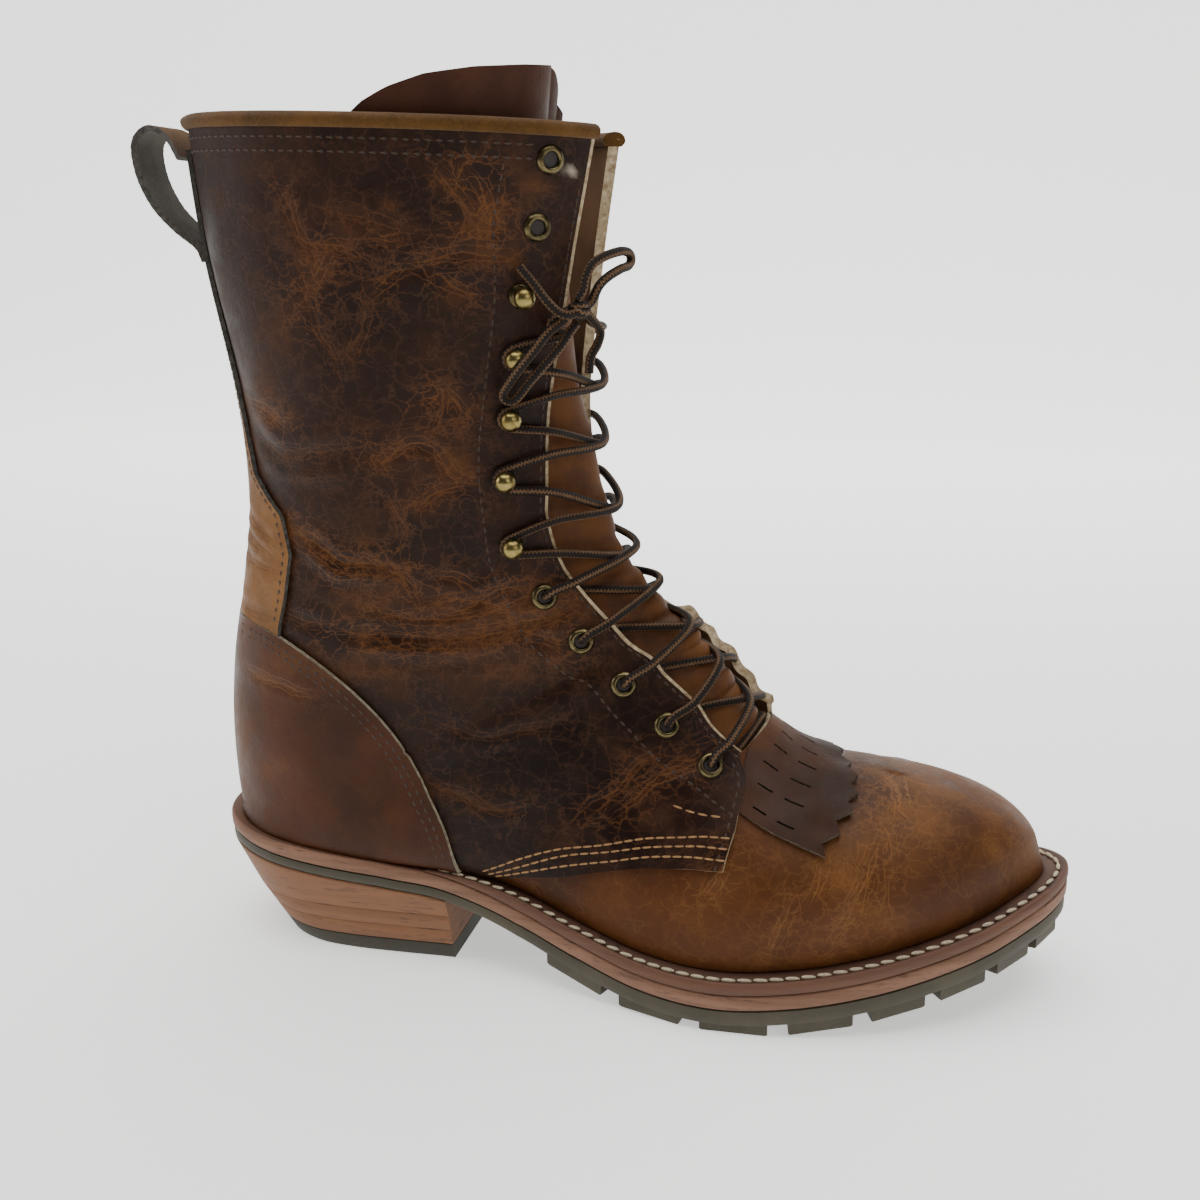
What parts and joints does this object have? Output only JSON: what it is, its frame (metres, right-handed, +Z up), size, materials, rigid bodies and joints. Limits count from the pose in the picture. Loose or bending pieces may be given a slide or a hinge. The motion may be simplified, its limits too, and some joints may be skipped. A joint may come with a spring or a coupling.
{
  "type": "lace-up boot",
  "caption": "Tall lace-up leather boot for the right foot, standing empty: hollow welted upper with tongue, fringed kiltie, eyelets, hooks and laces on a lugged sole with a stacked heel.",
  "frame": {"origin": "middle of the footprint, on the floor", "axes": "+X from heel to toe, +Y towards the inner side of the foot, +Z up"},
  "size_m": [0.3278, 0.114, 0.3085],
  "materials": {
    "vamp": "oiled pull-up leather, creased",
    "leather": "oiled pull-up leather, dark",
    "suede": "suede",
    "sole_leather": "raw edge, sanded",
    "rubber": "matt",
    "brass": "antique, satin",
    "lace": "braided",
    "insole": "smooth"
  },
  "bodies": {
    "root": {"backstay": "leather", "collar_binding": "suede", "counter": "leather", "eyelet_inner_1": "brass", "eyelet_inner_2": "brass", "eyelet_inner_3": "brass", "eyelet_inner_4": "brass", "eyelet_inner_5": "brass", "eyelet_inner_6": "brass", "eyelet_inner_7": "brass", "eyelet_outer_1": "brass", "eyelet_outer_2": "brass", "eyelet_outer_3": "brass", "eyelet_outer_4": "brass", "eyelet_outer_5": "brass", "eyelet_outer_6": "brass", "eyelet_outer_7": "brass", "heel_cap": "rubber", "heel_stack": "sole_leather", "hook_inner_1": "brass", "hook_inner_2": "brass", "hook_inner_3": "brass", "hook_inner_4": "brass", "hook_inner_5": "brass", "hook_outer_1": "brass", "hook_outer_2": "brass", "hook_outer_3": "brass", "hook_outer_4": "brass", "hook_outer_5": "brass", "insole": "insole", "kiltie": "leather", "lace_bar": "lace", "lace_bow_inner": "lace", "lace_bow_outer": "lace", "lace_cross_1": "lace", "lace_cross_2": "lace", "lace_cross_3": "lace", "lace_cross_4": "lace", "lace_cross_5": "lace", "lace_cross_6": "lace", "lace_cross_7": "lace", "lace_cross_8": "lace", "lace_cross_9": "lace", "lace_end_inner": "lace", "lace_end_outer": "lace", "lace_knot": "lace", "lace_lead_inner": "lace", "lace_lead_outer": "lace", "midsole": "sole_leather", "outsole": "rubber", "pull_loop": "suede", "tongue": "leather", "upper": "vamp", "welt": "sole_leather"}
  },
  "joints": []
}
